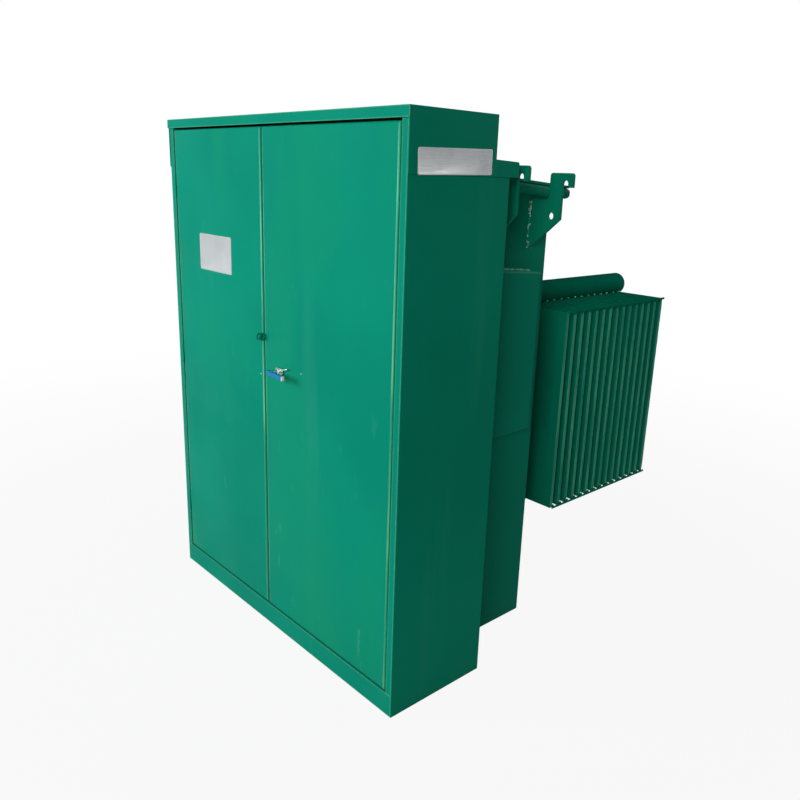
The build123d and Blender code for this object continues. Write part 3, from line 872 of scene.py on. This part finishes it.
fin_places = [FIRST_FIN + FIN_PITCH * k for k in range(FIN_COUNT)]
pipe_levels = {
    "top": FIN_TOP - PIPE_SINK + PIPE_RADIUS,
    "bottom": FIN_BOTTOM + PIPE_SINK - PIPE_RADIUS,
}
notch_reach = math.sqrt(PIPE_RADIUS ** 2 - (PIPE_RADIUS - PIPE_SINK) ** 2) + WELD_DOT_REACH
for side_name, side in SIDES.items():
    x0 = side * RADIATOR_OFFSET
    bank = [fin_parts(x0, y) for y in fin_places]
    seams, dots, fillets = [], [], []
    for edge in (-1, 1):
        near = x0 + edge * FIN_HALF_WIDTH
        far = near + edge * STRIP_THICKNESS
        for low in (FIN_TOP + STRIP_RISE - STRIP_HEIGHT, FIN_BOTTOM - STRIP_RISE):
            bank.append(rounded_box_parts(
                (min(near, far), FIRST_FIN, low),
                (max(near, far), LAST_FIN + STRIP_OVERRUN, low + STRIP_HEIGHT),
                STRIP_ROUND,
                2,
            ))
        for y in fin_places:
            for lobe in (-1, 1):
                seams.append(seam_parts(near - edge * SEAM_RADIUS, y + lobe * SEAM_SPREAD, edge))
            for level in (FIN_TOP, FIN_BOTTOM):
                dots.append(blob_parts((x0 + edge * notch_reach, y, level), WELD_DOT, rng))
            for level in (FIN_TOP - FILLET_DROP, FIN_BOTTOM + FILLET_DROP):
                for place in (y - FILLET_SPREAD, y + FILLET_SPREAD):
                    if FIRST_FIN < place < LAST_FIN:
                        fillets.append(blob_parts((near - edge * FILLET_SINK, place, level), FILLET, rng))
    add_mesh(
        f"{side_name}_fin_bank", join_parts(bank), shaded_fin_green, "frame",
        (f"{side_name}_radiator_fins",),
    )
    add_mesh(f"{side_name}_fin_seams", join_parts(seams), shaded_seam_highlight_green, "frame")
    add_mesh(f"{side_name}_fin_welds", join_parts(dots), weld_green_with_glints, "frame")
    add_mesh(f"{side_name}_strip_welds", join_parts(fillets), shaded_fin_green, "frame")

# Radiator pipes with pressed end caps, welded to the tank's rear wall
for side_name, side in SIDES.items():
    for level_name, level in pipe_levels.items():
        length = PIPE_END - TANK_REAR
        profile = [(PIPE_RADIUS, length * share) for share in (0.0, 0.25, 0.5, 0.75)]
        for k in range(DOME_STEPS + 1):
            a = math.pi / 2 * k / DOME_STEPS
            radius = PIPE_RADIUS * math.cos(a) if k < DOME_STEPS else 0.0
            profile.append((radius, length - PIPE_DOME + PIPE_DOME * math.sin(a)))
        pipe_middle = Vector((side * RADIATOR_OFFSET, TANK_REAR, level))
        turn = Matrix.Translation(pipe_middle) @ Matrix.Rotation(-math.pi / 2, 4, "X")
        add_mesh(
            f"{side_name}_{level_name}_header", lathe_parts(profile, 48, turn), shaded_fin_green, "frame",
            (f"{side_name}_radiator_{level_name}_pipe",),
        )
        ring = []
        for k in range(RING_STEPS + 1):
            a = 2 * math.pi * k / RING_STEPS
            ring.append(pipe_middle + Vector((math.cos(a), 0, math.sin(a))) * (PIPE_RADIUS + WELD_PROUD))
        ring_parts = bead_parts(ring, *PIPE_WELD, rng, 6)
        add_mesh(f"{side_name}_{level_name}_header_weld", ring_parts, weld_green_with_glints, "frame")

# Weld beads on the lifting lugs and the stiffener boxes
for side_name, side in SIDES.items():
    wall = side * (TANK_HALF_WIDTH + WALL_GAP)
    for end_name in ("front", "rear"):
        low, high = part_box(f"lifting_lug_{end_name}_{side_name}")
        beads = []
        for y in (low.y - WALL_GAP, high.y + WALL_GAP):
            ends = [(wall, y, low.z + end) for end in LUG_WELD_ENDS]
            beads.append(bead_parts(ends, *LUG_WELD, rng))
        add_mesh(f"lug_weld_{end_name}_{side_name}", join_parts(beads), weld_green_with_glints, "frame")
    low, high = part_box(f"side_box_{side_name}")
    rear_top = high.z - (high.y - low.y) * COVER_FALL
    rear, front = high.y + WELD_PROUD, low.y + BOX_WELD_START
    foot = (wall, rear, low.z - WELD_PROUD)
    over = [foot, (wall, rear, rear_top + WELD_PROUD), (wall, front, high.z + WELD_PROUD)]
    under = [foot, (wall, front, low.z - WELD_PROUD)]
    beads = [bead_parts(path, *BOX_WELD, rng, 6) for path in (over, under)]
    add_mesh(f"box_weld_{side_name}", join_parts(beads), weld_green_with_glints, "frame")

# Bushings inside the cabinet
high_profile = (
    (0.0525, 0.0), (0.0525, 0.0095), (0.0505, 0.0115), (0.0420, 0.0120), (0.0400, 0.0300),
    (0.0418, 0.0340), (0.0418, 0.0390), (0.0375, 0.0430), (0.0360, 0.0585), (0.0330, 0.0620),
    (0.0318, 0.0800), (0.0330, 0.0840), (0.0330, 0.0890), (0.0300, 0.0930), (0.0285, 0.1180),
    (0.0250, 0.1215), (0.0174, 0.1225), (0.0174, 0.1480), (0.0150, 0.1515), (0.0, 0.1520),
)
high_parts = []
for x in HIGH_PLACES:
    place = Matrix.Translation((x, BUSHING_PLANE, HIGH_LEVEL)) @ front_face
    high_parts.append(lathe_parts(high_profile, 40, place))
add_mesh(
    "high_bushing_bodies", join_parts(high_parts), resin, "frame", ("high_voltage_bushings",)
)
low_profile = (
    (0.0448, 0.0), (0.0448, 0.0080), (0.0430, 0.0098), (0.0290, 0.0100), (0.0285, 0.0340), (0.0340, 0.0355),
    (0.0385, 0.0385), (0.0390, 0.0410), (0.0378, 0.0440), (0.0285, 0.0450), (0.0280, 0.0680),
    (0.0265, LOW_BODY),
)
low_parts, spade_parts = [], []
spade_outline = rounded_outline(SPADE_LENGTH, 2 * SPADE_HALF_HEIGHT, SPADE_CORNER)
spade_holes = [circle_outline(along, 0.0, SPADE_HOLE) for along in SPADE_HOLE_PLACES]
for x in LOW_PLACES:
    place = Matrix.Translation((x, BUSHING_PLANE, LOW_LEVEL)) @ front_face
    low_parts.append(lathe_parts(low_profile, 40, place))
    blade = Matrix.Translation((x, BUSHING_PLANE - LOW_BODY - SPADE_LENGTH / 2, LOW_LEVEL)) @ upright_face
    spade_parts.append(cut_plate_parts((spade_outline, *spade_holes), SPADE_PLATE, SPADE_EDGE, blade))
add_mesh(
    "low_bushing_bodies", join_parts(low_parts), resin, "frame", ("low_voltage_bushings",)
)
add_mesh(
    "low_terminal_blades", join_parts(spade_parts), tinned, "frame",
    ("low_voltage_terminals",),
)

# Bare plates: a white one on the left door and a silver one on the hood's right side
sign_place = Matrix.Translation(SIGN_PLACE) @ front_face
sign_layers = ((0.0, 0.0), (0.0, 0.0010), (0.0005, 0.0014), (0.0036, 0.0014), (0.0042, 0.0010))
add_mesh(
    "door_sign_plate",
    layered_plate_parts(rounded_outline(*SIGN), sign_layers, sign_place),
    white_plate, "left_door",
)
side_face = Matrix(((0, 0, 1, 0), (1, 0, 0, 0), (0, 1, 0, 0), (0, 0, 0, 1)))
plate_turn = Matrix.Rotation(NAME_PLATE_TILT, 4, "Z")
plate_place = Matrix.Translation(NAME_PLATE_PLACE) @ side_face @ plate_turn
plate_layers = ((0.0, 0.0), (0.0, 0.0012), (0.0006, 0.0017), (0.0028, 0.0017), (0.0034, 0.0012))
add_mesh(
    "hood_name_plate",
    layered_plate_parts(rounded_outline(*NAME_PLATE), plate_layers, plate_place),
    silver_plate, "frame",
)

# Stage: floor, light and camera
FLOOR_REACH = 40.0
FLOOR_COLOUR = (0.42, 0.42, 0.42)
FLOOR_ROUGHNESS = 0.9
FLOOR_FADE = (1.2, 5.0)
FLOOR_WHITENESS = (0.92, 1.0)
WHITE = (1.0, 1.0, 1.0)
AMBIENT = (0.025, 0.025, 0.025)
floor_mesh = bpy.data.meshes.new("floor")
floor_corners = [(-1, -1), (1, -1), (1, 1), (-1, 1)]
floor_mesh.from_pydata([(x * FLOOR_REACH, y * FLOOR_REACH, 0) for x, y in floor_corners], [], [(0, 1, 2, 3)])
floor = bpy.data.objects.new("floor", floor_mesh)
scene.collection.objects.link(floor)


def seen_directly(tree):
    """One for rays that show the background itself, in the picture and in reflections."""
    path = add_node(tree, "ShaderNodeLightPath")
    seen = path.outputs["Is Camera Ray"]
    for name in ("Is Glossy Ray", "Is Transmission Ray"):
        either = add_node(tree, "ShaderNodeMath", operation="MAXIMUM")
        tree.links.new(seen, either.inputs[0])
        tree.links.new(path.outputs[name], either.inputs[1])
        seen = either.outputs["Value"]
    return seen


floor_material, tree, shader = new_material("floor")
shader.inputs["Base Color"].default_value = (*FLOOR_COLOUR, 1.0)
shader.inputs["Roughness"].default_value = FLOOR_ROUGHNESS
shader.inputs["Specular IOR Level"].default_value = 0.0
paper = add_node(tree, "ShaderNodeEmission")
paper.inputs["Color"].default_value = (*WHITE, 1.0)
place = add_node(tree, "ShaderNodeNewGeometry")
away = add_node(tree, "ShaderNodeVectorMath", operation="LENGTH")
tree.links.new(place.outputs["Position"], away.inputs[0])
whiteness = ramp_of(tree, away.outputs["Value"], *FLOOR_FADE, *FLOOR_WHITENESS)
blend = add_node(tree, "ShaderNodeMixShader")
tree.links.new(times(tree, seen_directly(tree), whiteness), blend.inputs["Fac"])
tree.links.new(shader.outputs["BSDF"], blend.inputs[1])
tree.links.new(paper.outputs["Emission"], blend.inputs[2])
tree.links.new(blend.outputs["Shader"], tree.nodes["Material Output"].inputs["Surface"])
floor_mesh.materials.append(floor_material)

world = bpy.data.worlds.new("studio")
scene.world = world
world.use_nodes = True
tree = world.node_tree
background_colour = mix_colour(tree, seen_directly(tree), AMBIENT, WHITE)
tree.links.new(background_colour, tree.nodes["Background"].inputs["Color"])


def softbox(name, place, aim, size, power, colour):
    """A soft lamp that the camera doesn't see."""
    lamp = bpy.data.lights.new(name, "AREA")
    lamp.shape = "RECTANGLE"
    lamp.size, lamp.size_y = size
    lamp.energy = power
    lamp.color = colour
    holder = bpy.data.objects.new(name, lamp)
    holder.location = place
    direction = Vector(aim) - Vector(place)
    holder.rotation_euler = direction.to_track_quat("-Z", "Y").to_euler()
    holder.visible_camera = False
    scene.collection.objects.link(holder)


# Near-neutral lamps: the colour is in the paint, so that it holds under other light too
softbox("key_light", (-2.6, -5.2, 2.4), (0.0, -0.5, 0.9), (2.6, 2.6), 216.0, (0.87, 0.94, 1.0))
softbox("fill_light", (3.4, -5.2, 2.8), (0.5, 0.0, 1.0), (2.6, 2.0), 146.0, (1.0, 0.96, 0.88))
softbox("left_light", (-6.0, 1.4, 2.6), (0.0, 0.2, 0.9), (3.0, 2.4), 108.0, (1.0, 0.97, 0.92))
softbox("back_light", (1.0, 6.6, 3.2), (0.0, 0.6, 0.9), (3.0, 2.4), 168.0, (1.0, 0.98, 0.93))

# Camera solved from the photograph's straight edges
PICTURE = 800.0
SENSOR = 36.0
FOCAL = 766.396
MIDDLE = (405.499, 390.756)
CAMERA_PLACE = (2.1061, -1.9049, 1.5828)
CAMERA_YAW = math.radians(-47.4721)
CAMERA_PITCH = math.radians(-15.6522)
CAMERA_ROLL = math.radians(1.9369)
forward = Vector((
    math.sin(CAMERA_YAW) * math.cos(CAMERA_PITCH),
    math.cos(CAMERA_YAW) * math.cos(CAMERA_PITCH),
    math.sin(CAMERA_PITCH),
))
level_right = forward.cross(Vector((0, 0, 1))).normalized()
level_up = level_right.cross(forward)
right = level_right * math.cos(CAMERA_ROLL) + level_up * math.sin(CAMERA_ROLL)
up = level_up * math.cos(CAMERA_ROLL) - level_right * math.sin(CAMERA_ROLL)
turn = Matrix((right, up, -forward)).transposed().to_4x4()
camera_data = bpy.data.cameras.new("camera")
camera_data.sensor_width = SENSOR
camera_data.lens = SENSOR * FOCAL / PICTURE
camera_data.shift_x = (PICTURE / 2 - MIDDLE[0]) / PICTURE
camera_data.shift_y = (MIDDLE[1] - PICTURE / 2) / PICTURE
camera = bpy.data.objects.new("camera", camera_data)
camera.matrix_world = Matrix.Translation(CAMERA_PLACE) @ turn
scene.collection.objects.link(camera)
scene.camera = camera

scene.view_settings.view_transform = "Standard"
